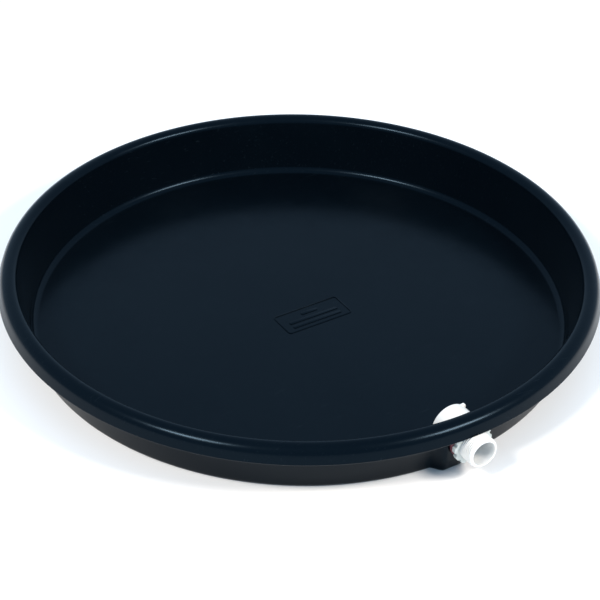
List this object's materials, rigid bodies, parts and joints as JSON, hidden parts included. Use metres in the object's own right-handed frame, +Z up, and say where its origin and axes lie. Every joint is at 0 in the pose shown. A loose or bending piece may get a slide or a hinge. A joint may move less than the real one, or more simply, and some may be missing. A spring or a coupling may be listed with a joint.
{
  "type": "round drain pan",
  "caption": "Round moulded plastic drain pan with a rolled lip, open on top, and a threaded drain fitting through a flat in its side wall.",
  "frame": {"origin": "centre of the pan's underside, on the surface it stands on", "axes": "+Z up out of the pan, -Y out along the drain fitting, X along the flat that the fitting clamps"},
  "size_m": [0.6538, 0.665, 0.0706],
  "materials": {
    "pan_plastic": "satin",
    "fitting_plastic": "satin",
    "nut_plastic": "satin",
    "seal_rubber": "matte"
  },
  "bodies": {
    "pan": {"pan_body": "pan_plastic", "wall_washer": "seal_rubber", "lock_nut": "nut_plastic"},
    "gasket": {"head_gasket": "seal_rubber"},
    "adapter": {"drain_adapter": "fitting_plastic"}
  },
  "joints": [
    {"name": "gasket_slide", "type": "slide", "parent": "pan", "child": "gasket", "axis": [0, 1, 0], "range_m": [0, 0.01325]},
    {"name": "adapter_screw", "type": "hinge", "parent": "gasket", "child": "adapter", "pos_m": [0, -0.29, 0.0375], "axis": [0, 1, 0], "range_deg": [0, 2160]}
  ],
  "couplings": [
    {"joint": "gasket_slide", "follows": "adapter_screw", "m_per_rad": 0.00035157}
  ]
}
